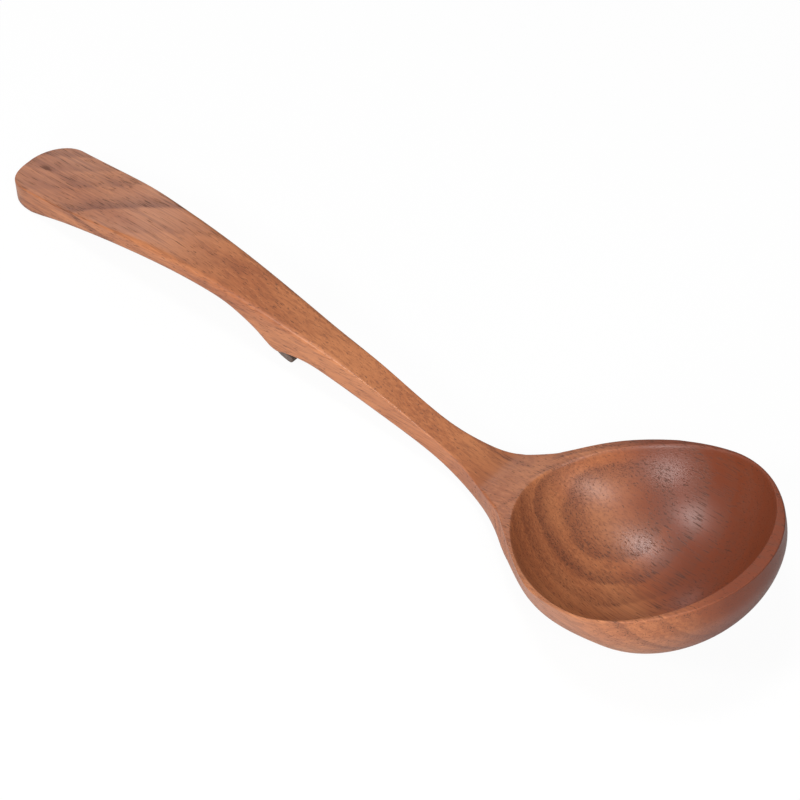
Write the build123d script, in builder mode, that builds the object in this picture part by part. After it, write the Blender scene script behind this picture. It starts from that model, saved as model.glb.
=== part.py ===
"""Soup ladle carved from one board, with a small hook let into the underside of its handle.

Millimetres, +Z up. The ladle lies at rest as on a table: the underside of the bowl and the
underside of the handle's end touch z = 0, and the bowl's tip points along +X. The origin is
under the middle of the whole length.
"""

from build123d import *

import os
from math import cos, radians, sin, sqrt, tan

# Overall sizes
overall_length = 347.0
overrun = 3.0
halvings = 40

# Bowl: an egg whose long axis runs along the rim, cut off by the flat rim
bowl_width = 90.0
bowl_depth = 38.6
bowl_front = 44.0
bowl_back = 61.2
rim_tilt = 20.2
rim_wall = 2.0
tip_wall = 4.6
neck_wall = 3.4
floor_wall = 3.8
rest_sag = 0.6
outer_front_shares = (0.450, 0.550)
outer_back_shares = (0.560, 0.480)
inner_front_shares = (0.520, 0.552)
inner_back_shares = (0.500, 0.420)
egg_steps = (0.2, 0.4, 0.6, 0.8, 1.0)

# Handle and neck
handle_width = 29.6
crest_height = 26.2
end_height = 10.0
end_corner = 9.0
end_bulge = 3.4
neck_width = 9.8
edge_round = 1.2
under_round = 2.5
seat_spare = 0.8
rim_spare_share = 0.130

# Hook under the handle: a tongue that points at the bowl, with a tenon glued into a mortise
hook_seat_height = 10.4
hook_inset = 1.6
hook_width = 9.2
hook_root = 4.8
hook_reach = 11.2
hook_shoulder = 2.2
hook_round = 0.6
tongue_thick = 3.2
notch_height = 4.6
tenon_length = 5.0
tenon_width = 6.0
tenon_wall = 1.0
tenon_fit = 0.1
glue_gap = 0.4

# Shares of the reach from the handle's end to the widest part of the rim, each with a height
# as a share of the crest, or with a half width as a share of the width that it follows
top_shares = [
    (0.076, 0.527),
    (0.187, 0.802),
    (0.345, 1.000),
    (0.492, 0.939),
    (0.613, 0.794),
    (0.699, 0.626),
    (0.744, 0.599),
]
rim_start_share = 0.790
under_end_shares = [(0.076, 0.125), (0.165, 0.430), (0.246, 0.610), (0.328, 0.700), (0.378, 0.655)]
hook_start_share = 0.430
hook_end_share = 0.456
under_neck_shares = [
    (0.486, 0.435),
    (0.541, 0.405),
    (0.610, 0.322),
    (0.705, 0.228),
    (0.764, 0.185),
    (0.803, 0.290),
]
under_rise_share = 0.922
plan_handle_shares = [(0.046, 0.500), (0.181, 0.463), (0.309, 0.368), (0.453, 0.264)]
plan_neck_shares = [(0.590, 0.551), (0.672, 0.500), (0.738, 0.643)]
plan_flare_shares = [(0.795, 0.134), (0.839, 0.233), (0.882, 0.337)]
plan_root_share = 0.922
end_turns = (25, 42, 62)
stations = [0.045, 0.076, 0.120, 0.165, 0.205, 0.246, 0.287, 0.328, 0.365, 0.395, 0.420]
stations += [0.436, 0.450, 0.470, 0.500, 0.541, 0.580, 0.620, 0.660, 0.700, 0.735, 0.765]
stations += [0.790, 0.815, 0.840, 0.862, 0.882, 0.902, 0.917]
root_width_share = 0.400

# Derived sizes of the bowl
tilt = radians(rim_tilt)
bowl_radius = bowl_width / 2
axis_raise = bowl_radius - bowl_depth
rim_half = sqrt(bowl_radius**2 - axis_raise**2)
cavity_depth = bowl_depth - floor_wall
cavity_half = rim_half - rim_wall
cavity_radius = (cavity_half**2 + cavity_depth**2) / (2 * cavity_depth)
cavity_raise = cavity_radius - cavity_depth
handle_end = -overall_length / 2


def middle_plane(x, z):
    """The upright middle plane of the ladle, laid along the tilted rim."""
    return Plane(origin=(x, 0, z), x_dir=(cos(tilt), 0, sin(tilt)), z_dir=(0, -1, 0))


def egg_plane(x, z):
    """A plane along the rim, square to the middle plane."""
    return Plane(origin=(x, 0, z), x_dir=(cos(tilt), 0, sin(tilt)), z_dir=(-sin(tilt), 0, cos(tilt)))


def egg_axis(x, z):
    """The long axis of the bowl's egg."""
    return Axis((x, 0, z), (cos(tilt), 0, sin(tilt)))


def egg_point(length, radius, shares, step):
    """A point on one end of an egg, from its widest place at step 0 to its tip at step 1."""
    stay = 1 - step
    x = length * (3 * stay**2 * step * shares[0] + 3 * stay * step**2 + step**3)
    y = -radius * (stay**3 + 3 * stay**2 * step + 3 * stay * step**2 * shares[1])
    return (x, y)


def half_egg(front, back, radius, front_shares, back_shares):
    """Draws one side of an egg: round at the front, and drawn out towards the neck."""
    points = [egg_point(front, radius, front_shares, step) for step in reversed(egg_steps)]
    points += [(0, -radius)]
    points += [egg_point(-back, radius, back_shares, step) for step in egg_steps]
    Spline(*points, tangents=[(0, -1), (0, 1)])
    Line((front, 0), (-back, 0))


# The keel decides how high the bowl stands over the table and how far its front reaches
with BuildLine(middle_plane(0, 0)) as keel:
    half_egg(bowl_front, bowl_back, bowl_radius, outer_front_shares, outer_back_shares)
keel_box = keel.line.bounding_box()
bowl_x = overall_length / 2 - keel_box.max.X
bowl_z = -keel_box.min.Z - rest_sag
rim_x = bowl_x + axis_raise * sin(tilt)
rim_z = bowl_z - axis_raise * cos(tilt)
cavity_x = rim_x - cavity_raise * sin(tilt)
cavity_z = rim_z + cavity_raise * cos(tilt)
reach = rim_x - handle_end


def along(share):
    """A place along the handle, from its end towards the bowl."""
    return handle_end + share * reach


def rim_height(x):
    """Height of the flat rim over the table."""
    return rim_z + (x - rim_x) * tan(tilt)


# Side view of the top: from the end over the crest, down to the neck and up along the rim
top_points = [(handle_end, end_height)]
top_points += [(along(s), h * crest_height) for s, h in top_shares]
top_points += [(along(rim_start_share), rim_height(along(rim_start_share)))]
rim_far = overall_length / 2 + overrun
sky = rim_height(rim_far) + bowl_depth

# Underside, in two runs with the hook's flat seat between them
seat_start = along(hook_start_share)
seat_end = along(hook_end_share)
under_first = [(handle_end, -overrun)]
under_first += [(along(s), h * crest_height) for s, h in under_end_shares]
under_first += [(seat_start, hook_seat_height)]
under_second = [(seat_end, hook_seat_height)]
under_second += [(along(s), h * crest_height) for s, h in under_neck_shares]
under_second += [(along(under_rise_share), rim_height(along(under_rise_share)))]

# Hook: its root sits on the flat seat, and its tongue leaves a notch for a pot's rim
hook_start = seat_start + hook_inset
tongue_tip = hook_start + hook_reach
tongue_half = tongue_thick / 2
tongue_top = hook_seat_height - notch_height
tenon_thick = hook_root - 2 * tenon_wall
tenon_x = hook_start + hook_root / 2

# Plan view of one side: handle, narrow neck, and the flare that runs into the bowl
side_points = [(along(s), w * handle_width) for s, w in plan_handle_shares]
side_points += [(along(s), w * neck_width) for s, w in plan_neck_shares]
side_points += [(along(s), w * bowl_width) for s, w in plan_flare_shares]
side_points += [(along(plan_root_share), root_width_share * bowl_width)]


rim_plane = egg_plane(rim_x, rim_z)


def at(curve, x):
    """The point where a line drawn along the ladle crosses a place along X."""
    low, high = 0, 1
    if (curve @ 0).X > (curve @ 1).X:
        low, high = 1, 0
    for _ in range(halvings):
        middle = (low + high) / 2
        if (curve @ middle).X < x:
            low = middle
        else:
            high = middle
    return curve @ low


def section(x, half_width, top, under, top_round, low_round):
    """One cross-section of the blank, a rectangle with soft corners."""
    with BuildSketch(Plane.YZ.offset(x)) as cut:
        with Locations((0, (top + under) / 2)):
            Rectangle(2 * half_width, top - under)
        fillet(cut.vertices().group_by(Axis.Y)[-1], top_round)
        fillet(cut.vertices().group_by(Axis.Y)[0], low_round)
    return cut.sketch.faces()[0]


def lies_below_seat(edge):
    """True for the edges along both sides of the hook's tongue."""
    box = edge.bounding_box()
    return box.size.Y < tenon_fit and box.min.Z < hook_seat_height - tenon_fit


# Views of the blank: one side from above, and top and underside from the side
with BuildLine(Plane.XY) as plan_view:
    Spline(*side_points, tangents=[(1, 0), (1, 1)])
with BuildLine(Plane.XZ) as top_view:
    Spline(*top_points, tangents=[(1, tan(tilt)), (cos(tilt), sin(tilt))])
with BuildLine(Plane.XZ) as end_under_view:
    Spline(*under_first)
with BuildLine(Plane.XZ) as neck_under_view:
    Spline(*under_second)

# Cross-sections of the blank: a few close together round the handle's end, then along to the bowl
sections = []
for turn in end_turns:
    x = handle_end + end_corner * (cos(radians(end_turns[0])) - cos(radians(turn)))
    pull = 1 - sin(radians(turn))
    half_width = handle_width / 2 - end_corner * pull
    top = at(top_view.line, x).Z - edge_round * pull
    under = -overrun + edge_round * pull
    sections.append(section(x, half_width, top, under, edge_round, under_round))
for share in stations:
    x = along(share)
    under = at(end_under_view.line, x).Z if x < seat_start else at(neck_under_view.line, x).Z
    if x > seat_start and x < seat_end:
        under = hook_seat_height - seat_spare
    top = at(top_view.line, x).Z
    if share > rim_start_share:
        top = rim_height(x) + (x - along(rim_start_share)) * rim_spare_share
    sections.append(section(x, at(plan_view.line, x).Y, top, under, edge_round, under_round))

# Bowl: turned about the long axis of its egg and cut off at the rim
with BuildPart() as bowl_blank:
    with BuildSketch(egg_plane(bowl_x, bowl_z)):
        with BuildLine():
            half_egg(bowl_front, bowl_back, bowl_radius, outer_front_shares, outer_back_shares)
        make_face()
    revolve(axis=egg_axis(bowl_x, bowl_z), revolution_arc=180)
    with BuildSketch(rim_plane):
        Rectangle(2 * overall_length, 2 * overall_length)
    extrude(amount=bowl_width, mode=Mode.SUBTRACT)

# Handle, neck and flare, with the flat saddle in the plane of the rim
with BuildPart() as handle_blank:
    loft(sections)
    with BuildSketch(rim_plane):
        Rectangle(2 * (rim_x - along(rim_start_share)), bowl_width)
    extrude(amount=bowl_width, mode=Mode.SUBTRACT)

with BuildPart() as ladle_body:
    add(handle_blank.part)
    add(bowl_blank.part)

    # The hollow of the bowl
    with BuildSketch(egg_plane(cavity_x, cavity_z)):
        with BuildLine():
            half_egg(
                bowl_front - tip_wall,
                bowl_back - neck_wall,
                cavity_radius,
                inner_front_shares,
                inner_back_shares,
            )
        make_face()
    revolve(axis=egg_axis(cavity_x, cavity_z), revolution_arc=180, mode=Mode.SUBTRACT)

    # The table's flat under the bowl and under the handle's end
    with BuildSketch(Plane.XY):
        Rectangle(overall_length + overrun, bowl_width + overrun)
    extrude(amount=-sky, mode=Mode.SUBTRACT)

    # The flat seat that the hook is glued to
    with BuildSketch(Plane.XY.offset(hook_seat_height)):
        with Locations(((seat_start + seat_end) / 2, 0)):
            Rectangle(seat_end - seat_start + 2 * overrun, handle_width)
    extrude(amount=-hook_seat_height, mode=Mode.SUBTRACT)

    # Mortise for the hook's tenon
    with BuildSketch(Plane.XY.offset(hook_seat_height)):
        with Locations((tenon_x, 0)):
            Rectangle(tenon_thick + 2 * tenon_fit, tenon_width + 2 * tenon_fit)
    extrude(amount=tenon_length + glue_gap, mode=Mode.SUBTRACT)

ladle_body.part.label = "ladle_body"

with BuildPart() as pot_hook:
    with BuildSketch(Plane.XZ):
        with BuildLine():
            Polyline(
                (hook_start, hook_seat_height - hook_shoulder),
                (hook_start, hook_seat_height),
                (hook_start + hook_root, hook_seat_height),
                (hook_start + hook_root, tongue_top),
                (tongue_tip - tongue_half, tongue_top),
            )
            ThreePointArc(
                (tongue_tip - tongue_half, tongue_top),
                (tongue_tip, tongue_top - tongue_half),
                (tongue_tip - tongue_half, tongue_top - tongue_thick),
            )
            Bezier(
                (tongue_tip - tongue_half, tongue_top - tongue_thick),
                (hook_start + hook_root, tongue_top - tongue_thick),
                (hook_start + tongue_half, tongue_top - tongue_half),
                (hook_start, hook_seat_height - hook_shoulder),
            )
        make_face()
    extrude(amount=hook_width / 2, both=True)
    fillet(pot_hook.edges().filter_by(lies_below_seat), hook_round)
    with BuildSketch(Plane.XY.offset(hook_seat_height)):
        with Locations((tenon_x, 0)):
            Rectangle(tenon_thick, tenon_width)
    extrude(amount=tenon_length)

pot_hook.part.label = "pot_hook"

if __name__ == "__main__":
    os.makedirs("parts", exist_ok=True)
    export_step(ladle_body.part, "parts/ladle_body.step")
    export_step(pot_hook.part, "parts/pot_hook.step")
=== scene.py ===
"""Carved wooden soup ladle lying on a pale studio floor."""

import math

import bmesh
import bpy
import numpy as np
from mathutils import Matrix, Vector


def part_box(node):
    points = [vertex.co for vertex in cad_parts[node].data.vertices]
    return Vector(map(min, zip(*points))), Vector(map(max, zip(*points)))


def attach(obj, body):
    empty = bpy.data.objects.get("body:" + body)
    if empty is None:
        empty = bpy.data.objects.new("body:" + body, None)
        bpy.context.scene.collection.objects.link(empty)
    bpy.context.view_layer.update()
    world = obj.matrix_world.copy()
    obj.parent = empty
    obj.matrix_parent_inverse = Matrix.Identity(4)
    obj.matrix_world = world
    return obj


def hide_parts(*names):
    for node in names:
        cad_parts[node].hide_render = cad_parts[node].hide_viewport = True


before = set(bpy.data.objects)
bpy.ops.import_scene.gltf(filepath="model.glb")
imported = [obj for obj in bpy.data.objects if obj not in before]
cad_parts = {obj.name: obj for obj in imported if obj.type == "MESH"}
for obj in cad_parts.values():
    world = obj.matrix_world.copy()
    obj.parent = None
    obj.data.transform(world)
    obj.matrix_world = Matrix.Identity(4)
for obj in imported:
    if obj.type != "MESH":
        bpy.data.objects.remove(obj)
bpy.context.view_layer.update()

bl_info = {
    "name": "Soup ladle",
    "version": (1, 0, 0),
    "blender": (4, 5, 0),
    "location": "3D View > Sidebar > Ladle",
    "description": "Builds a carved wooden soup ladle with a small hook for a pot's rim",
    "category": "Object",
}

MM = 0.001
ROOT = "root"

# Views of the blank, in shares: place along the reach, then height as a share of the crest or half
# width as a share of the width that it follows
TOP = [
    (0.000, 0.382),
    (0.076, 0.527),
    (0.187, 0.802),
    (0.345, 1.000),
    (0.492, 0.939),
    (0.613, 0.794),
    (0.699, 0.626),
    (0.744, 0.599),
]
UNDER_END = [
    (0.000, -0.060),
    (0.042, 0.000),
    (0.076, 0.125),
    (0.165, 0.430),
    (0.246, 0.610),
    (0.328, 0.700),
    (0.378, 0.655),
    (0.408, 0.525),
    (0.430, 0.420),
    (0.452, 0.330),
]
UNDER_NECK = [
    (0.458, 0.330),
    (0.472, 0.400),
    (0.490, 0.432),
    (0.541, 0.405),
    (0.610, 0.322),
    (0.705, 0.228),
    (0.764, 0.185),
    (0.803, 0.290),
]
PLAN_HANDLE = [(0.046, 0.500), (0.181, 0.463), (0.309, 0.368), (0.453, 0.264)]
PLAN_NECK = [(0.590, 0.551), (0.672, 0.500), (0.738, 0.643)]
PLAN_FLARE = [(0.795, 0.134), (0.839, 0.233), (0.882, 0.337), (0.922, 0.400)]

# Places along the reach: where the plan leaves the curved end, the hook's seat, where the top meets
# the rim and where the underside does
CURVED_END = 0.046
SEAT = (0.452, 0.458)
RIM_START = 0.790
UNDER_RISE = 0.922

# Ends of the two eggs: how far the line runs straight along, and straight up
OUTER_FRONT = (0.450, 0.550)
OUTER_BACK = (0.560, 0.480)
INNER_FRONT = (0.520, 0.552)
INNER_BACK = (0.500, 0.420)

# Shares of the reach between which the handle's upper edges grow softer, and crisp again, and how
# soft they are at the ends and by how much more in the middle
SOFTER = (0.16, 0.26)
CRISPER = (0.50, 0.60)
END_SOFTNESS = 0.45
MIDDLE_SOFTNESS = 1.6

# How square the corners of the handle's end are
NEAR_CORNER = 3.0
FAR_CORNER = 1.95

# Where the lower edges change along X: the soft swelling, the crisp seat and the crisp end
SWELLING = (-70 * MM, -48 * MM, -36 * MM)
CRISP_START = (-44 * MM, -36 * MM)
CRISP_END = (-30 * MM, -16 * MM)
CRISP_BUTT = (-165 * MM, -140 * MM)
BUTT_SHARE = 0.7

# Where the rim is worn
WORN_START = (126 * MM, 150 * MM)
WORN_END = (156 * MM, 171 * MM)

# Hand shaping, along X and down from the rim: the fuller front, the near belly and shoulder
FRONT_ALONG = (136 * MM, 164 * MM)
FRONT_DOWN = (-1 * MM, 9 * MM, 36 * MM)
BELLY_ALONG = (72 * MM, 100 * MM, 142 * MM)
BELLY_DOWN = (4 * MM, 17 * MM, 37 * MM)
SHOULDER_ALONG = (70 * MM, 91 * MM, 116 * MM)
SHOULDER_DOWN = (1 * MM, 7 * MM)

# Slices through the body: how far apart, where they begin to lean with the rim, and how many points
# run along the top, round its edge, down the wall and down the hollow
HANDLE_STEP = 1.5 * MM
NECK_STEP = 1.4 * MM
LEAN_START = 60 * MM
LEAN_REST = 14 * MM
BOWL_SLICES = 84
RAYS = 90
TOP_POINTS = 11
EDGE_POINTS = 7
WALL_POINTS = 33
LIP_POINTS = 5
HOLLOW_POINTS = 44

# How many slices the curved end has, and how they crowd towards its tip
END_SLICES = 16
END_CROWD = 1.35

# The search for the skin in a slice: how far out, in how many steps, then how many halvings
SEARCH_REACH = 70 * MM
SEARCH_STEPS = 71
HALVINGS = 20

# The most of a slice's top that its soft edge takes up, on the bowl's rim and elsewhere, and how
# far the skin is drawn in at the bowl's very tip
RIM_TAKEN = 0.92
TOP_TAKEN = 0.45
TIP_DROP = 0.12 * MM

# Points nearer than this are one point, and edges shorter than this are closed
ONE_POINT = 0.004 * MM
SHORT_EDGE = 0.002 * MM

# The hollow's soft edge: how far it spreads over the rim, and where on the wall it ends
LIP = 0.35 * MM
LIP_END = 0.988

# Growth rings: distance from the pith in millimetres, how dark the ring is, and how wide it fades
RINGS = [
    (17.0, 0.30, 2.5),
    (23.0, 0.62, 2.6),
    (28.0, 0.25, 2.0),
    (33.2, 0.80, 2.4),
    (39.0, 0.30, 2.4),
    (45.5, 0.35, 2.6),
    (51.5, 0.30, 2.6),
    (57.5, 0.38, 2.8),
    (62.6, 0.40, 2.4),
    (67.2, 0.55, 2.0),
    (71.5, 0.85, 1.7),
    (74.9, 0.80, 1.9),
    (79.6, 0.30, 2.0),
    (90.0, 0.20, 2.6),
    (96.0, 0.28, 2.6),
    (102.4, 0.30, 2.8),
    (108.7, 1.00, 2.6),
    (115.6, 0.42, 3.4),
    (120.9, 0.55, 3.0),
    (124.9, 0.75, 2.4),
]
BOWL_RINGS = 80.0
BOWL_EDGE = (76.5 * MM, 79.5 * MM)

# Where the dark band runs along the neck's far edge
NECK_BAND_START = (26 * MM, 44 * MM)
NECK_BAND_END = (68 * MM, 78 * MM)

# Where it darkens: painted shade across the far and the near side and along the near side, and a
# darker band along the saddle
FAR_SIDE_SHADE = (24 * MM, 40 * MM)
NEAR_SIDE_SHADE = (24 * MM, 38 * MM)
NEAR_SIDE_END = (92 * MM, 116 * MM)
SADDLE_START = (44 * MM, 62 * MM)
SADDLE_END = (68 * MM, 84 * MM)

# Where the heartwood starts, and where it darkens most, partly as painted shade, measured slantwise
# across the ladle
HEART = (46 * MM, 67 * MM)
DEEP_HEART_AND_SHADE = (55 * MM, 66 * MM)

# The pith's line above the ladle: Y and Z as it runs along X
PITH_Y = (-0.030, 0.112)
PITH_Z = (0.1055, -0.1885, -0.518)

# Softboxes: name, where each stands, where it points, width and height, and share of the power
SOFTBOXES = [
    ("right_box", (0.58, -0.34, 0.70), (0.10, 0.00, 0.02), 0.24, 0.24, 1.25),
    ("top_box", (-0.02, -0.08, 0.95), (0.11, 0.00, 0.01), 0.19, 0.19, 1.60),
    ("low_box", (0.20, -0.78, 0.20), (0.11, 0.04, 0.02), 0.14, 0.32, 1.75),
    ("front_box", (-0.18, -0.60, 0.55), (0.12, 0.03, 0.02), 0.16, 0.20, 1.20),
    ("left_box", (-0.88, 0.46, 0.56), (-0.10, 0.00, 0.02), 0.30, 0.30, 0.48),
]

FLOOR_REACH = 3.0
FLOOR_DROP = 0.02 * MM

# The camera: where it stands, the way it looks in degrees, and its lens in millimetres
CAMERA_PLACE = (392.34 * MM, -413.91 * MM, 681.10 * MM)
CAMERA_TURN = 42.0
CAMERA_LIFT = 50.0
CAMERA_LENS = 110.0
CAMERA_SENSOR = 36.0


class LadleSizes(bpy.types.PropertyGroup):
    """Sizes of the ladle's wooden body."""

    bowl_width: bpy.props.FloatProperty(
        name="Bowl width",
        description="Width across the turned bowl",
        default=90.0 * MM,
        unit="LENGTH",
    )
    bowl_depth: bpy.props.FloatProperty(
        name="Bowl depth",
        description="From the rim down to the bottom",
        default=38.6 * MM,
        unit="LENGTH",
    )
    bowl_front: bpy.props.FloatProperty(
        name="Bowl front",
        description="From the widest place to the tip",
        default=44.0 * MM,
        unit="LENGTH",
    )
    bowl_back: bpy.props.FloatProperty(
        name="Bowl back",
        description="From the widest place to the neck",
        default=61.2 * MM,
        unit="LENGTH",
    )
    rim_tilt: bpy.props.FloatProperty(
        name="Rim tilt",
        description="Slope of the rim",
        default=math.radians(20.2),
        subtype="ANGLE",
    )
    rim_wall: bpy.props.FloatProperty(
        name="Rim wall",
        description="Thickness of the wall at the rim",
        default=1.0 * MM,
        unit="LENGTH",
    )
    bottom_wall: bpy.props.FloatProperty(
        name="Bottom wall",
        description="Thickness of the bowl's bottom",
        default=3.8 * MM,
        unit="LENGTH",
    )
    front_wall: bpy.props.FloatProperty(
        name="Front wall",
        description="Thickness of the wall at the tip",
        default=4.6 * MM,
        unit="LENGTH",
    )
    back_wall: bpy.props.FloatProperty(
        name="Back wall",
        description="Thickness of the wall towards the neck",
        default=3.4 * MM,
        unit="LENGTH",
    )
    bottom_flat: bpy.props.FloatProperty(
        name="Bottom flat",
        description="How much is sanded off under the bowl",
        default=0.6 * MM,
        unit="LENGTH",
    )
    handle_width: bpy.props.FloatProperty(
        name="Handle width",
        description="Width of the handle's end",
        default=29.6 * MM,
        unit="LENGTH",
    )
    neck_width: bpy.props.FloatProperty(
        name="Neck width",
        description="Width of the narrow neck",
        default=9.8 * MM,
        unit="LENGTH",
    )
    crest_height: bpy.props.FloatProperty(
        name="Crest height",
        description="Height of the handle's arch",
        default=26.2 * MM,
        unit="LENGTH",
    )
    end_curve: bpy.props.FloatProperty(
        name="End curve",
        description="Length of the curved end",
        default=13.0 * MM,
        unit="LENGTH",
    )
    top_round: bpy.props.FloatProperty(
        name="Top edge",
        description="Softness of the handle's upper edges",
        default=1.0 * MM,
        unit="LENGTH",
    )
    low_round: bpy.props.FloatProperty(
        name="Lower edge",
        description="Softness of the lower edges",
        default=2.5 * MM,
        unit="LENGTH",
    )
    crisp_round: bpy.props.FloatProperty(
        name="Crisp edge",
        description="Softness of the lower edges where they are crisp",
        default=0.8 * MM,
        unit="LENGTH",
    )
    swell_round: bpy.props.FloatProperty(
        name="Swelling edge",
        description="Added softness under the swelling before the hook",
        default=1.5 * MM,
        unit="LENGTH",
    )
    rim_round: bpy.props.FloatProperty(
        name="Rim edge",
        description="Softness of the rim's outer edge",
        default=0.45 * MM,
        unit="LENGTH",
    )
    worn_round: bpy.props.FloatProperty(
        name="Worn rim",
        description="Added softness where the rim is worn",
        default=2.0 * MM,
        unit="LENGTH",
    )
    fillet: bpy.props.FloatProperty(
        name="Root",
        description="Softness where the neck meets the bowl",
        default=7.0 * MM,
        unit="LENGTH",
    )
    fuller_front: bpy.props.FloatProperty(
        name="Fuller front",
        description="How far the front swells beyond a true egg",
        default=1.3 * MM,
        unit="LENGTH",
    )
    near_belly: bpy.props.FloatProperty(
        name="Near belly",
        description="How far the near side swells beyond a true egg",
        default=2.6 * MM,
        unit="LENGTH",
    )
    near_shoulder: bpy.props.FloatProperty(
        name="Near shoulder",
        description="How much is pared off the near shoulder",
        default=3.6 * MM,
        unit="LENGTH",
    )


class WoodLook(bpy.types.PropertyGroup):
    """Colours and finish of the two woods."""

    light: bpy.props.FloatVectorProperty(
        name="Light wood",
        description="Early wood",
        default=(0.49, 0.186, 0.076),
        size=3,
        subtype="COLOR",
    )
    middle: bpy.props.FloatVectorProperty(
        name="Main wood",
        description="Main colour",
        default=(0.375, 0.120, 0.046),
        size=3,
        subtype="COLOR",
    )
    dark: bpy.props.FloatVectorProperty(
        name="Dark wood",
        description="Late wood",
        default=(0.165, 0.050, 0.026),
        size=3,
        subtype="COLOR",
    )
    heart: bpy.props.FloatVectorProperty(
        name="Heartwood",
        description="Redder wood",
        default=(0.25, 0.054, 0.019),
        size=3,
        subtype="COLOR",
    )
    pore: bpy.props.FloatVectorProperty(
        name="Pores",
        description="Open pores along the grain",
        default=(0.055, 0.022, 0.013),
        size=3,
        subtype="COLOR",
    )
    # The hook's dark colour: partly its end grain, partly painted shade for the shade under the
    # handle
    hook: bpy.props.FloatVectorProperty(
        name="Hook",
        description="Dark end grain of the hook",
        default=(0.115, 0.082, 0.068),
        size=3,
        subtype="COLOR",
    )
    roughness: bpy.props.FloatProperty(
        name="Roughness",
        description="Of the oiled surface",
        default=0.36,
        min=0.0,
        max=1.0,
        subtype="FACTOR",
    )


class StageLook(bpy.types.PropertyGroup):
    """Floor and light round the ladle."""

    floor: bpy.props.FloatVectorProperty(
        name="Floor",
        description="Colour of the floor",
        default=(0.60, 0.60, 0.60),
        size=3,
        subtype="COLOR",
    )
    floor_white: bpy.props.FloatProperty(
        name="White floor",
        description="How far the floor is seen as white, over its shadows",
        default=0.90,
        min=0.0,
        max=1.0,
        subtype="FACTOR",
    )
    floor_glow: bpy.props.FloatProperty(
        name="Floor glow",
        description="Strength of the white that is seen",
        default=1.04,
        min=0.0,
    )
    sky: bpy.props.FloatProperty(
        name="Sky",
        description="Even light from all round",
        default=0.235,
        min=0.0,
    )
    key: bpy.props.FloatProperty(
        name="Softboxes",
        description="Power of a middling softbox",
        default=2.0,
        min=0.0,
        unit="POWER",
    )


def smooth_step(low, high, x):
    """0 up to one end and 1 beyond the other, with a soft rise between them."""
    t = np.clip((x - low) / (high - low), 0, 1)
    return t * t * (3 - 2 * t)


def hill(x, start, top, end):
    """0 outside two ends and 1 at the top between them."""
    return smooth_step(start, top, x) * (1 - smooth_step(top, end, x))


def between(x, rise, fall):
    """1 between a rise and a fall, and 0 outside them."""
    return smooth_step(*rise, x) * (1 - smooth_step(*fall, x))


class Line:
    """A smooth line through points, read as a height or a width at a place along X."""

    def __init__(self, points, first=None, last=None):
        self.x = np.array([p[0] for p in points], float)
        self.y = np.array([p[1] for p in points], float)
        count = len(self.x)
        gap = np.diff(self.x)
        rise = np.diff(self.y) / gap
        rows = np.zeros((count, count))
        right = np.zeros(count)
        for i in range(1, count - 1):
            rows[i, i - 1 : i + 2] = (gap[i], 2 * (gap[i - 1] + gap[i]), gap[i - 1])
            right[i] = 3 * (gap[i] * rise[i - 1] + gap[i - 1] * rise[i])
        rows[0, :2] = (1, 0) if first is not None else (2, 1)
        right[0] = first if first is not None else 3 * rise[0]
        rows[-1, -2:] = (0, 1) if last is not None else (1, 2)
        right[-1] = last if last is not None else 3 * rise[-1]
        self.slope = np.linalg.solve(rows, right)

    def __call__(self, x):
        x = np.asarray(x, float)
        i = np.clip(np.searchsorted(self.x, x) - 1, 0, len(self.x) - 2)
        gap = self.x[i + 1] - self.x[i]
        t = np.clip((x - self.x[i]) / gap, 0, 1)
        keep = (1 + 2 * t) * (1 - t) ** 2 * self.y[i] + t * t * (3 - 2 * t) * self.y[i + 1]
        lean = t * (1 - t) ** 2 * self.slope[i] - t * t * (1 - t) * self.slope[i + 1]
        before = np.minimum(x - self.x[0], 0) * self.slope[0]
        after = np.maximum(x - self.x[-1], 0) * self.slope[-1]
        return keep + gap * lean + before + after


class Egg:
    """A surface turned about the long axis of an egg: its radius at any place along the axis."""

    def __init__(self, front, back, radius, front_shares, back_shares):
        step = np.linspace(0, 1, 400)
        stay = 1 - step
        along, out = [], []
        for length, shares in ((-back, back_shares), (front, front_shares)):
            x = length * (3 * stay**2 * step * shares[0] + 3 * stay * step**2 + step**3)
            y = radius * (stay**3 + 3 * stay**2 * step + 3 * stay * step**2 * shares[1])
            along.append(x)
            out.append(y)
        self.along = np.concatenate([along[0][::-1], along[1][1:]])
        self.out = np.concatenate([out[0][::-1], out[1][1:]])
        self.radius = radius

    def at(self, place):
        """The radius at places along the axis, less than nothing beyond the ends."""
        over = np.maximum(self.along[0] - place, place - self.along[-1])
        return np.interp(place, self.along, self.out) - np.maximum(over, 0)

    def where(self, out, front):
        """Where along the axis the radius falls to a value, at the front or the back."""
        side = self.along > 0 if front else self.along < 0
        along, radii = self.along[side], self.out[side]
        order = np.argsort(radii)
        return float(np.interp(out, radii[order], along[order]))

    def half_width(self, place, height):
        """Half the egg's width at a place along its axis, at a height above the axis."""
        return math.sqrt(max(self.at(place) ** 2 - height**2, 0))


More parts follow.
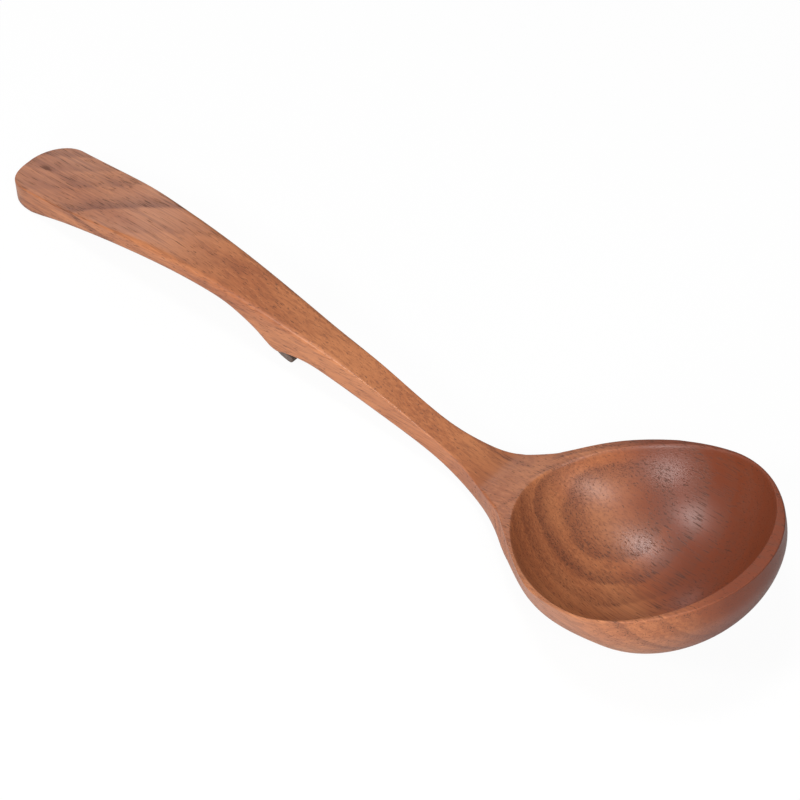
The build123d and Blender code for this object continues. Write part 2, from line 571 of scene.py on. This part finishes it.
class Shape:
    """All lines and measures of one side of the ladle's body, in metres."""

    def __init__(self, sizes, near=False):
        self.sizes = sizes
        self.near = near
        low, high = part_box("ladle_body")
        self.end, self.tip = low.x, high.x
        tilt = sizes.rim_tilt
        self.ahead = np.array((math.cos(tilt), 0, math.sin(tilt)))
        self.up = np.array((-math.sin(tilt), 0, math.cos(tilt)))
        radius = sizes.bowl_width / 2
        self.outer_rise = radius - sizes.bowl_depth
        self.outer = Egg(sizes.bowl_front, sizes.bowl_back, radius, OUTER_FRONT, OUTER_BACK)
        keel_x = self.outer.along * math.cos(tilt) + self.outer.out * math.sin(tilt)
        keel_z = self.outer.along * math.sin(tilt) - self.outer.out * math.cos(tilt)
        bowl_x = self.tip - keel_x.max()
        bowl_z = -keel_z.min() - sizes.bottom_flat
        self.bowl = np.array((bowl_x, 0, bowl_z))
        self.rim = self.bowl - self.up * self.outer_rise
        half = math.sqrt(radius**2 - self.outer_rise**2) - sizes.rim_wall
        deep = sizes.bowl_depth - sizes.bottom_wall
        inner_radius = (half**2 + deep**2) / (2 * deep)
        self.inner_rise = inner_radius - deep
        inner_front = sizes.bowl_front - sizes.front_wall
        inner_back = sizes.bowl_back - sizes.back_wall
        self.inner = Egg(inner_front, inner_back, inner_radius, INNER_FRONT, INNER_BACK)
        self.reach = self.rim[0] - self.end
        self.draw_lines()

    def draw_lines(self):
        """Draws the blank's top, its underside and its side line."""
        at = self.along
        crest = self.sizes.crest_height
        rim_start, rise = at(RIM_START), at(UNDER_RISE)
        top = [(at(p), h * crest) for p, h in TOP]
        top += [(rim_start, self.rim_height(rim_start))]
        self.top_line = Line(top, last=math.tan(self.sizes.rim_tilt))
        self.under_end = Line([(at(p), h * crest) for p, h in UNDER_END])
        neck = [(at(p), h * crest) for p, h in UNDER_NECK]
        neck += [(rise, self.rim_height(rise))]
        self.under_neck = Line(neck)
        side = [(at(p), w * self.sizes.handle_width) for p, w in PLAN_HANDLE]
        side += [(at(p), w * self.sizes.neck_width) for p, w in PLAN_NECK]
        side += [(at(p), w * self.sizes.bowl_width) for p, w in PLAN_FLARE]
        self.side = Line(side, first=0.0, last=1.0)

    def along(self, share):
        """X at a share of the reach."""
        return self.end + share * self.reach

    def on_rim(self, place):
        """The point in the middle of the rim's plane, at a place along the bowl's axis."""
        return self.rim + self.ahead * place

    def rim_height(self, x):
        """Height of the rim's plane."""
        return self.rim[2] + (x - self.rim[0]) * math.tan(self.sizes.rim_tilt)

    def top(self, x):
        """Height of the top."""
        return np.where(x < self.along(RIM_START), self.top_line(x), self.rim_height(x))

    def under(self, x):
        """Height of the underside, with the hook's seat between its two lines."""
        seat_start, seat_end = self.along(SEAT[0]), self.along(SEAT[1])
        low = np.where(x <= seat_start, self.under_end(x), self.under_end(seat_start))
        low = np.where(x >= seat_end, self.under_neck(x), low)
        return np.maximum(low, 0.0)

    def half_width(self, x):
        """Half the blank's width, with the handle's curved end."""
        curve = self.sizes.end_curve
        share = np.clip((self.end + curve - x) / curve, 0, 1)
        power = NEAR_CORNER if self.near else FAR_CORNER
        rounded = self.sizes.handle_width / 2 * (1 - share**power) ** (1 / power)
        return np.where(x > self.along(CURVED_END), self.side(x), rounded)

    def low_round(self, x):
        """Softness of the lower edges: full before the hook, crisp where it is seated."""
        sizes = self.sizes
        full = sizes.swell_round * hill(x, *SWELLING)
        seat = between(x, CRISP_START, CRISP_END)
        butt = (1 - smooth_step(*CRISP_BUTT, x)) * BUTT_SHARE
        crisp = (sizes.low_round - sizes.crisp_round) * np.maximum(seat, butt)
        return sizes.low_round + full - crisp

    def top_round(self, x, in_bowl):
        """Softness of the upper edges: softer along the handle's middle and where the rim is worn."""
        sizes = self.sizes
        soft = sizes.top_round
        if in_bowl:
            soft = sizes.rim_round + sizes.worn_round * between(x, WORN_START, WORN_END)
        if x < self.along(RIM_START):
            share = (x - self.end) / self.reach
            soft *= END_SOFTNESS + MIDDLE_SOFTNESS * between(share, SOFTER, CRISPER)
        return soft

    def outside(self, points):
        """Less than nothing inside the body, with the top open: blank and bowl run together."""
        x, y, z = points[..., 0], points[..., 1], points[..., 2]
        wide = np.maximum(self.half_width(x), 0.01 * MM)
        soft = np.minimum(self.low_round(x), wide)
        beside = np.abs(y) - wide + soft
        below = self.under(x) + soft - z
        blank = np.hypot(np.maximum(beside, 0), np.maximum(below, 0))
        blank = blank + np.minimum(np.maximum(beside, below), 0) - soft
        blank = np.maximum(blank, x - self.along(UNDER_RISE))
        from_bowl = points - self.bowl
        place, height = from_bowl @ self.ahead, from_bowl @ self.up
        egg = np.hypot(y, height) - self.outer.at(place)
        fillet = self.sizes.fillet
        near = np.maximum(fillet - np.abs(blank - egg), 0) / fillet
        return np.minimum(blank, egg) - near * near * near * fillet / 6


def spread(points, count):
    """The same line as evenly spaced points."""
    points = np.array(points)
    steps = np.linalg.norm(np.diff(points, axis=0), axis=1)
    run = np.concatenate([[0], np.cumsum(steps)])
    even = np.linspace(0, run[-1], count)
    return np.column_stack([np.interp(even, run, points[:, i]) for i in range(3)])


def straight(first, last, count):
    """Evenly spaced points on a straight line."""
    t = np.linspace(0, 1, count)[:, None]
    return first + (last - first) * t


def corner(first, middle, last, count):
    """A soft corner from one point to another, drawn towards the sharp corner between them."""
    t = np.linspace(0, 1, count)[:, None]
    return (1 - t) ** 2 * first + 2 * t * (1 - t) * middle + t * t * last


def walk(points, length):
    """The place at a length along a line of points, and the rest of the line from there."""
    run = 0.0
    for i in range(len(points) - 1):
        step = float(np.linalg.norm(points[i + 1] - points[i]))
        if run + step >= length and step > 0:
            cut = points[i] + (points[i + 1] - points[i]) * ((length - run) / step)
            return cut, np.vstack([cut, points[i + 1 :]])
        run += step
    return points[-1], points[-1:]


def slices_along(shape):
    """Where the body is sliced, from the handle's end to the bowl's tip: the middle of each slice's
    top and how far the slice leans. Also the number of the first slice across the hollow."""
    end_share = (1 - np.cos(np.linspace(0, math.pi / 2, END_SLICES))) ** END_CROWD
    handle = list(shape.end + shape.sizes.end_curve * end_share)
    handle += list(np.arange(handle[-1] + HANDLE_STEP, LEAN_START, HANDLE_STEP))
    neck_place = shape.inner.where(shape.inner_rise, False) - LIP
    neck_x = float(shape.on_rim(neck_place)[0])
    neck = list(np.arange(LEAN_START + NECK_STEP, neck_x - 0.5 * MM, NECK_STEP)) + [neck_x]
    middles = [np.array((x, 0, shape.top(x))) for x in handle + neck]
    first_inner = len(middles) - 1
    tip_place = shape.outer.where(shape.outer_rise, True)
    outline = []
    for step in np.linspace(0, 1, 400):
        place = neck_place + (tip_place - neck_place) * (1 - (1 - step) ** 2)
        wide = shape.outer.half_width(place, shape.outer_rise)
        x = shape.on_rim(place)[0]
        if x < shape.along(UNDER_RISE):
            wide = max(wide, float(shape.half_width(x)))
        outline.append((place, wide, 0))
    places = list(spread(outline, BOWL_SLICES)[1:-1, 0]) + [tip_place]
    middles += [shape.on_rim(place) for place in places]
    leans = [smooth_step(LEAN_START, neck_x + LEAN_REST, m[0]) for m in middles]
    return np.array(middles), shape.sizes.rim_tilt * np.array(leans), first_inner


def skin_lines(shape, middles, leans):
    """The outer skin in each slice, from the edge of the top down to the middle underneath."""
    spin = np.linspace(0, math.pi / 2, RAYS)[None, :, None]
    ups = np.column_stack([-np.sin(leans), np.zeros(len(leans)), np.cos(leans)])[:, None, :]
    ways = np.cos(spin) * np.array((0.0, 1.0, 0.0)) - np.sin(spin) * ups
    starts = middles[:, None, :]
    steps = np.linspace(0, SEARCH_REACH, SEARCH_STEPS)
    tries = starts[:, :, None, :] + ways[:, :, None, :] * steps[None, None, :, None]
    out = shape.outside(tries) > 0
    out[:, :, 0] = False
    first = np.argmax(out, axis=2)
    high = steps[first]
    low = steps[np.maximum(first - 1, 0)]
    for _ in range(HALVINGS):
        middle = (low + high) / 2
        beyond = shape.outside(starts + ways * middle[:, :, None]) > 0
        high = np.where(beyond, middle, high)
        low = np.where(beyond, low, middle)
    return starts + ways * low[:, :, None]


def by_hand(shape, skins):
    """The body as the carver left it: a fuller front, and on the near side less shoulder beside the
    neck and more belly below it."""
    sizes = shape.sizes
    x = skins[..., 0]
    depth = -(skins - shape.rim) @ shape.up
    out = skins - shape.bowl
    out = out / np.maximum(np.linalg.norm(out, axis=-1, keepdims=True), MM)
    front = smooth_step(*FRONT_ALONG, x) * hill(depth, *FRONT_DOWN)
    push = sizes.fuller_front * front
    if shape.near:
        belly = hill(x, *BELLY_ALONG) * hill(depth, *BELLY_DOWN)
        push = push + sizes.near_belly * belly
    shaped = skins + out * push[..., None]
    if shape.near:
        shoulder = hill(x, *SHOULDER_ALONG) * (1 - smooth_step(*SHOULDER_DOWN, depth))
        shaped[..., 1] = np.maximum(shaped[..., 1] - sizes.near_shoulder * shoulder, 0)
    return shaped


def hollow_edge(shape, count):
    """The hollow's edge in evenly spaced places, from the neck round one side to the tip. For each:
    the sharp edge's point, where its softness starts on the rim, the place and the half width."""
    start = shape.inner.where(shape.inner_rise, False)
    end = shape.inner.where(shape.inner_rise, True)
    middle, half = (start + end) / 2, (end - start) / 2
    line = []
    for turn in np.linspace(0, math.pi, 500):
        place = middle - half * math.cos(turn)
        line.append((place, shape.inner.half_width(place, shape.inner_rise), 0))
    line[0] = (start, 0, 0)
    line[-1] = (end, 0, 0)
    even = spread(line, count)
    edge = []
    for i, (place, wide, _) in enumerate(even):
        if i == 0:
            flow = np.array((0.0, 1.0))
        elif i == count - 1:
            flow = np.array((0.0, -1.0))
        else:
            flow = (even[i + 1] - even[i - 1])[:2]
        flow = flow / np.linalg.norm(flow)
        out = -flow[1] * shape.ahead + np.array((0, flow[0], 0))
        sharp = shape.on_rim(place) + np.array((0, wide, 0))
        edge.append((sharp, sharp + out * LIP, place, wide))
    return edge


def body_rows(shape):
    """Slices of one side of the body: each is a row of points from the top's middle, or the hollow's
    edge, down to the middle of the underside. Also the hollow's edge, slice by slice."""
    middles, leans, first_inner = slices_along(shape)
    skins = by_hand(shape, skin_lines(shape, middles, leans))
    edge = hollow_edge(shape, len(middles) - first_inner)
    rows = []
    for i, middle in enumerate(middles):
        in_bowl = i >= first_inner
        last = i == len(middles) - 1
        x = middle[0]
        skin = skins[i]
        if i == 0:
            skin = straight(middle, np.array((x, 0, shape.under(x))), RAYS)
        if last:
            skin = np.repeat(middle[None, :], RAYS, axis=0)
        begin = edge[i - first_inner][1] if in_bowl else middle
        across = skin[0] - begin
        length = float(np.linalg.norm(across))
        way = across / length if length > 0 else np.zeros(3)
        soft = shape.top_round(x, in_bowl)
        stop = skin[0] - way * min(soft, length * (RIM_TAKEN if in_bowl else TOP_TAKEN))
        if last:
            down = skin[0] - (shape.ahead + shape.up) * TIP_DROP
            bend = corner(stop, (stop + down) / 2, down, EDGE_POINTS)
            wall = np.repeat(down[None, :], WALL_POINTS, axis=0)
        else:
            down, rest = walk(skin, soft)
            bend = corner(stop, skin[0], down, EDGE_POINTS)
            wall = spread(rest, WALL_POINTS)
        row = np.vstack([straight(begin, stop, TOP_POINTS), bend[1:], wall[1:]])
        row[:, 2] = np.maximum(row[:, 2], 0)
        rows.append(row)
    return rows, edge


def hollow_rows(shape, edge):
    """Rows of the hollow, from its soft edge down to the middle of the bottom."""
    steep = math.acos(min(1.0, shape.inner_rise / shape.inner.radius))
    rows = []
    for sharp, begin, place, wide in edge:
        wall = []
        for step in np.linspace(0, 1, HOLLOW_POINTS):
            share = math.sin(steep * (1 - step)) / math.sin(steep) * LIP_END
            out = wide * share
            radius = shape.inner.at(place * share)
            height = shape.inner_rise - math.sqrt(max(radius**2 - out * out, 0))
            point = shape.on_rim(place * share) + shape.up * min(height, 0)
            wall.append(point + np.array((0, out, 0)))
        bend = corner(begin, sharp, wall[0], LIP_POINTS)
        rows.append(np.vstack([bend, wall[1:]]))
    return rows


def sheets_to_mesh(name, sheets):
    """One smooth mesh from sheets of points, each drawn for one side of the ladle."""
    points, faces = [], []
    for side, rows in sheets:
        wide = len(rows[0])
        base = len(points)
        for row in rows:
            points += [(p[0], p[1] * side, p[2]) for p in row]
        for i in range(len(rows) - 1):
            for j in range(wide - 1):
                a = base + i * wide + j
                quad = (a, a + 1, a + wide + 1, a + wide)
                faces.append(quad if side == 1 else quad[::-1])
    mesh = bpy.data.meshes.new(name)
    mesh.from_pydata(points, [], faces)
    work = bmesh.new()
    work.from_mesh(mesh)
    bmesh.ops.remove_doubles(work, verts=work.verts, dist=ONE_POINT)
    bmesh.ops.dissolve_degenerate(work, edges=work.edges, dist=SHORT_EDGE)
    bmesh.ops.recalc_face_normals(work, faces=work.faces)
    work.to_mesh(mesh)
    work.free()
    mesh.shade_smooth()
    return mesh


class Sum:
    """A socket on which sums can be written, such as 1 - mask * 0.5."""

    def __init__(self, finish, socket):
        self.finish = finish
        self.socket = socket

    def work_out(self, operation, first, second):
        """Adds the node for one sum."""
        inputs = {0: first, 1: second}
        return self.finish.add("ShaderNodeMath", {"operation": operation}, inputs)["Value"]

    def __add__(self, other):
        return self.work_out("ADD", self, other)

    def __sub__(self, other):
        return self.work_out("SUBTRACT", self, other)

    def __rsub__(self, other):
        return self.work_out("SUBTRACT", other, self)

    def __mul__(self, other):
        return self.work_out("MULTIPLY", self, other)

    def __pow__(self, other):
        return self.work_out("POWER", self, other)

    __radd__ = __add__
    __rmul__ = __mul__


class Finish:
    """The nodes of a material or of the sky, added one by one."""

    def __init__(self, owner):
        owner.use_nodes = True
        self.owner = owner
        self.tree = owner.node_tree
        self.tree.nodes.clear()

    def add(self, kind, settings=None, inputs=None):
        """Adds a node: its settings first, then the values or links of its sockets."""
        node = self.tree.nodes.new(kind)
        for key, value in (settings or {}).items():
            setattr(node, key, value)
        for key, value in (inputs or {}).items():
            socket = node.inputs[key]
            if isinstance(value, Sum):
                self.tree.links.new(value.socket, socket)
            else:
                socket.default_value = value
        return {out.name: Sum(self, out) for out in node.outputs if out.enabled}

    def mix(self, share, first, second):
        """A colour between two colours."""
        inputs = {0: share, 6: first, 7: second}
        return self.add("ShaderNodeMix", {"data_type": "RGBA"}, inputs)["Result"]

    def step(self, value, low, high):
        """A soft step from 0 to 1 between two values."""
        settings = {"interpolation_type": "SMOOTHSTEP", "clamp": True}
        inputs = {"Value": value, "From Min": low, "From Max": high}
        return self.add("ShaderNodeMapRange", settings, inputs)["Result"]

    def between(self, value, rise, fall):
        """1 between a rise and a fall, and 0 outside them."""
        return self.step(value, *rise) * (1 - self.step(value, *fall))

    def noise(self, vector, detail=2.0, rough=0.5):
        """Cloudy spots, at the scale that the vector has."""
        inputs = {"Vector": vector, "Scale": 1.0, "Detail": detail, "Roughness": rough}
        made = self.add("ShaderNodeTexNoise", {"noise_dimensions": "3D"}, inputs)
        return made["Fac"] if "Fac" in made else made["Factor"]

    def stretch(self, vector, factors):
        """A vector made longer or shorter along each axis."""
        inputs = {0: vector, 1: factors}
        return self.add("ShaderNodeVectorMath", {"operation": "MULTIPLY"}, inputs)["Vector"]


def rgba(colour, light=1.0):
    """A colour, made lighter or darker, with its alpha."""
    return (colour[0] * light, colour[1] * light, colour[2] * light, 1.0)


def growth_rings(finish, x, y, z, wander):
    """Dark bands round the pith above the bowl, and a dark band along the far edge of the neck."""
    off_y = y - PITH_Y[0] - x * PITH_Y[1]
    off_z = z - PITH_Z[0] - x * PITH_Z[1] - x * x * PITH_Z[2]
    ring = (off_y * off_y + off_z * off_z) ** 0.5 + wander * (3.2 * MM)
    in_bowl = finish.step(x, *BOWL_EDGE)
    side_way = y - x * 0.05 - 3.0 * MM + wander * (5.0 * MM)
    neck_band = finish.step(side_way, -1.4 * MM, 0.0) - finish.step(side_way, 0.2 * MM, 2.0 * MM)
    bands = neck_band * finish.between(x, NECK_BAND_START, NECK_BAND_END) * 0.8
    for radius, dark, fade in RINGS:
        start = finish.step(ring, (radius - 0.5) * MM, (radius + 0.4) * MM)
        end = finish.step(ring, radius * MM, (radius + fade * 1.8) * MM)
        band = (start - end) * dark
        if radius < BOWL_RINGS:
            band = band * in_bowl
        bands = bands + band
    return bands


def shade_and_saddle(finish, x, y):
    """Darker places: painted shade on the bowl's far side and on its near side towards the neck, and
    a darker band on the saddle.
    """
    far_side_shade = finish.step(y, *FAR_SIDE_SHADE) * 0.55
    towards_neck = 1 - finish.step(x, *NEAR_SIDE_END)
    near_side_shade = finish.step(y * -1.0, *NEAR_SIDE_SHADE) * towards_neck * 0.38
    saddle = finish.between(x, SADDLE_START, SADDLE_END) * 0.26
    return far_side_shade + near_side_shade + saddle


def oiled_wood(look, shape):
    """Reddish-brown hardwood: rings round a pith above the bowl, rows of open pores, satin oil."""
    finish = Finish(bpy.data.materials.new("oiled_wood"))
    place = finish.add("ShaderNodeTexCoord")["Object"]
    parts = finish.add("ShaderNodeSeparateXYZ", None, {0: place})
    x, y, z = parts["X"], parts["Y"], parts["Z"]
    lie = {"X": x, "Y": y + x * 0.03, "Z": z - x * 0.15}
    grain = finish.add("ShaderNodeCombineXYZ", None, lie)["Vector"]
    wander = finish.noise(finish.stretch(grain, (20.0, 70.0, 70.0)), 3.0) - 0.5
    broad = finish.noise(finish.stretch(grain, (12.0, 60.0, 60.0)), 3.0)
    fibre = finish.noise(finish.stretch(grain, (70.0, 2300.0, 2300.0)), 2.0, 0.6)
    long_lines = finish.noise(finish.stretch(grain, (9.0, 1100.0, 1100.0)), 3.0, 0.6)
    cells = finish.noise(finish.stretch(grain, (120.0, 2600.0, 2600.0)), 1.5)
    bands = growth_rings(finish, x, y, z, wander)
    pore = finish.step(cells + bands * 0.09 + (broad - 0.5) * 0.10, 0.622, 0.690)
    line = finish.step(long_lines + bands * 0.04, 0.51, 0.63)
    pale = 1 - finish.step(long_lines, 0.33, 0.46)
    inwards = y * 0.55 + x * 0.42 + wander * (12.0 * MM)
    heart = finish.step(inwards, *HEART)
    deep_heart_and_shade = finish.step(inwards, *DEEP_HEART_AND_SHADE)
    # Lighter on sharp edges: partly worn edges, partly a painted highlight along the arris
    bend = finish.add("ShaderNodeNewGeometry")["Pointiness"]
    edge_wear_and_highlight = finish.step(bend, 0.515, 0.60) * finish.step(broad, 0.30, 0.60)

    colour = finish.mix(finish.step(broad, 0.28, 0.72), rgba(look.light), rgba(look.middle))
    colour = finish.mix(pale * 0.45, colour, rgba(look.light, 1.15))
    colour = finish.mix(heart, colour, rgba(look.heart))
    # Darkest towards the bowl's tip and far side: partly heartwood, partly painted shade
    colour = finish.mix(deep_heart_and_shade * 0.34, colour, rgba(look.heart, 0.50))
    # Painted shade on the far and near sides, and the darker saddle, in a dark heartwood colour
    colour = finish.mix(shade_and_saddle(finish, x, y), colour, rgba(look.heart, 0.58))
    colour = finish.mix(bands * 0.60, colour, rgba(look.dark))
    colour = finish.mix(finish.step(fibre, 0.45, 0.80) * 0.25, colour, rgba(look.dark))
    colour = finish.mix(line * 0.36, colour, rgba(look.dark))
    colour = finish.mix(pore * 0.62, colour, rgba(look.pore))
    # Painted highlight and worn lightening along the sharp edges
    colour = finish.mix(edge_wear_and_highlight * 0.18, colour, rgba(look.light, 1.25))

    above_rim = z - x * math.tan(shape.sizes.rim_tilt) - float(shape.rim_height(0.0))
    on_rim = finish.step(above_rim, -1.0 * MM, -0.3 * MM) * finish.step(x, 80 * MM, 130 * MM)
    rough = look.roughness + (broad - 0.5) * 0.10 + pore * 0.22 + (fibre - 0.5) * 0.08
    rough = rough + on_rim * 0.30
    height = fibre * 0.25 - pore * 1.0 - line * 0.2
    relief = {"Strength": 0.22, "Distance": 0.12 * MM, "Height": height}
    skin = {
        "Base Color": colour,
        "Roughness": rough,
        "Normal": finish.add("ShaderNodeBump", None, relief)["Normal"],
        "Coat Weight": 0.04,
        "Coat Roughness": 0.20,
        "Specular IOR Level": 0.45,
    }
    surface = finish.add("ShaderNodeBsdfPrincipled", None, skin)["BSDF"]
    finish.add("ShaderNodeOutputMaterial", None, {"Surface": surface})
    return finish.owner


def end_grain_with_painted_shade(look):
    """Dark end grain with painted shade: the dark base colour stands in partly for the shade under
    the handle. Short cells and fine specks.
    """
    finish = Finish(bpy.data.materials.new("dark_end_grain"))
    place = finish.add("ShaderNodeTexCoord")["Object"]
    cells = finish.noise(finish.stretch(place, (2200.0, 2200.0, 500.0)), 3.0)
    broad = finish.noise(finish.stretch(place, (260.0, 260.0, 120.0)), 2.0)
    cloudy = finish.step(broad, 0.3, 0.7)
    # Painted shade: the hook's dark colour, lighter and darker in clouds
    colour = finish.mix(cloudy, rgba(look.hook, 0.78), rgba(look.hook, 1.25))
    colour = finish.mix(finish.step(cells, 0.55, 0.75) * 0.6, colour, rgba(look.hook, 0.35))
    relief = {"Strength": 0.25, "Distance": 0.08 * MM, "Height": cells}
    skin = {
        "Base Color": colour,
        "Roughness": cells * 0.2 + 0.42,
        "Normal": finish.add("ShaderNodeBump", None, relief)["Normal"],
    }
    surface = finish.add("ShaderNodeBsdfPrincipled", None, skin)["BSDF"]
    finish.add("ShaderNodeOutputMaterial", None, {"Surface": surface})
    return finish.owner


def pale_floor(look):
    """A matt floor that is seen as near white and keeps the ladle's shadow."""
    finish = Finish(bpy.data.materials.new("pale_floor"))
    seen = finish.add("ShaderNodeLightPath")["Is Camera Ray"] * look.floor_white
    matt = finish.add("ShaderNodeBsdfDiffuse", None, {"Color": rgba(look.floor)})["BSDF"]
    white = {"Color": (1, 1, 1, 1), "Strength": look.floor_glow}
    glow = finish.add("ShaderNodeEmission", None, white)["Emission"]
    both = finish.add("ShaderNodeMixShader", None, {0: seen, 1: matt, 2: glow})["Shader"]
    finish.add("ShaderNodeOutputMaterial", None, {"Surface": both})
    return finish.owner


def studio_sky(look):
    """Even light from all round, seen by the camera as white."""
    finish = Finish(bpy.data.worlds.new("studio"))
    seen = finish.add("ShaderNodeLightPath")["Is Camera Ray"]
    light = {"Color": (1, 1, 1, 1), "Strength": seen * (1 - look.sky) + look.sky}
    back = finish.add("ShaderNodeBackground", None, light)["Background"]
    finish.add("ShaderNodeOutputWorld", None, {"Surface": back})
    return finish.owner


def set_lamps(scene, look):
    """Stands the softboxes round the ladle."""
    for name, where, target, wide, tall, share in SOFTBOXES:
        lamp = bpy.data.lights.new(name, "AREA")
        lamp.shape = "RECTANGLE"
        lamp.size = wide
        lamp.size_y = tall
        lamp.energy = look.key * share
        box = bpy.data.objects.new(name, lamp)
        box.location = where
        back = Vector(where) - Vector(target)
        box.rotation_euler = back.to_track_quat("Z", "Y").to_euler()
        scene.collection.objects.link(box)


def set_camera(scene):
    """Sets the camera, which looks down on the ladle from its near side."""
    camera = bpy.data.cameras.new("camera")
    camera.lens = CAMERA_LENS
    camera.sensor_width = CAMERA_SENSOR
    camera.clip_start = 0.05
    eye = bpy.data.objects.new("camera", camera)
    eye.location = CAMERA_PLACE
    turn, lift = math.radians(CAMERA_TURN), math.radians(CAMERA_LIFT)
    level = math.cos(lift)
    back = Vector((math.sin(turn) * level, -math.cos(turn) * level, math.sin(lift)))
    eye.rotation_euler = back.to_track_quat("Z", "Y").to_euler()
    scene.collection.objects.link(eye)
    scene.camera = eye


class LADLE_OT_body(bpy.types.Operator):
    """Builds the carved body: bowl, neck and handle from one piece of wood"""

    bl_idname = "ladle.body"
    bl_label = "Carved body"

    def execute(self, context):
        sheets = []
        for side in (1, -1):
            shape = Shape(context.scene.ladle_sizes, near=side < 0)
            rows, edge = body_rows(shape)
            sheets += [(side, rows), (side, hollow_rows(shape, edge))]
        mesh = sheets_to_mesh("carved_body", sheets)
        if not mesh.polygons:
            raise RuntimeError("The carved body has no faces.")
        mesh.materials.append(oiled_wood(context.scene.ladle_wood, shape))
        body = bpy.data.objects.new("carved_body", mesh)
        context.scene.collection.objects.link(body)
        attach(body, ROOT)
        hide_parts("ladle_body")
        return {"FINISHED"}


class LADLE_OT_hook(bpy.types.Operator):
    """Gives the small hook under the handle its dark end grain, with painted shade in its colour"""

    bl_idname = "ladle.hook"
    bl_label = "Hook"

    def execute(self, context):
        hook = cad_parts.get("pot_hook")
        if hook is None:
            raise RuntimeError("The frame has no hook.")
        hook.data.materials.clear()
        hook.data.materials.append(end_grain_with_painted_shade(context.scene.ladle_wood))
        return {"FINISHED"}


class LADLE_OT_stage(bpy.types.Operator):
    """Lays the floor and sets the lamps and the camera"""

    bl_idname = "ladle.stage"
    bl_label = "Stage"

    def execute(self, context):
        scene = context.scene
        look = scene.ladle_stage
        reach = FLOOR_REACH
        corners = [(-reach, -reach, 0), (reach, -reach, 0), (reach, reach, 0), (-reach, reach, 0)]
        mesh = bpy.data.meshes.new("floor")
        mesh.from_pydata(corners, [], [(0, 1, 2, 3)])
        floor = bpy.data.objects.new("floor", mesh)
        floor.location.z = -FLOOR_DROP
        scene.collection.objects.link(floor)
        mesh.materials.append(pale_floor(look))
        scene.world = studio_sky(look)
        set_lamps(scene, look)
        set_camera(scene)
        scene.view_settings.view_transform = "Standard"
        return {"FINISHED"}


class LADLE_PT_panel(bpy.types.Panel):
    """Lists the pieces of the ladle"""

    bl_idname = "LADLE_PT_panel"
    bl_label = "Soup ladle"
    bl_space_type = "VIEW_3D"
    bl_region_type = "UI"
    bl_category = "Ladle"

    def draw(self, context):
        for operator in (LADLE_OT_body, LADLE_OT_hook, LADLE_OT_stage):
            self.layout.operator(operator.bl_idname)


CLASSES = (
    LadleSizes,
    WoodLook,
    StageLook,
    LADLE_OT_body,
    LADLE_OT_hook,
    LADLE_OT_stage,
    LADLE_PT_panel,
)


def register():
    """Adds the ladle's settings and steps."""
    for one in CLASSES:
        bpy.utils.register_class(one)
    bpy.types.Scene.ladle_sizes = bpy.props.PointerProperty(type=LadleSizes)
    bpy.types.Scene.ladle_wood = bpy.props.PointerProperty(type=WoodLook)
    bpy.types.Scene.ladle_stage = bpy.props.PointerProperty(type=StageLook)


def unregister():
    """Takes the ladle's settings and steps away again."""
    del bpy.types.Scene.ladle_stage
    del bpy.types.Scene.ladle_wood
    del bpy.types.Scene.ladle_sizes
    for one in reversed(CLASSES):
        bpy.utils.unregister_class(one)


def main():
    """Builds the ladle on its stage."""
    register()
    bpy.ops.ladle.stage()
    bpy.ops.ladle.body()
    bpy.ops.ladle.hook()


if __name__ == "__main__":
    main()
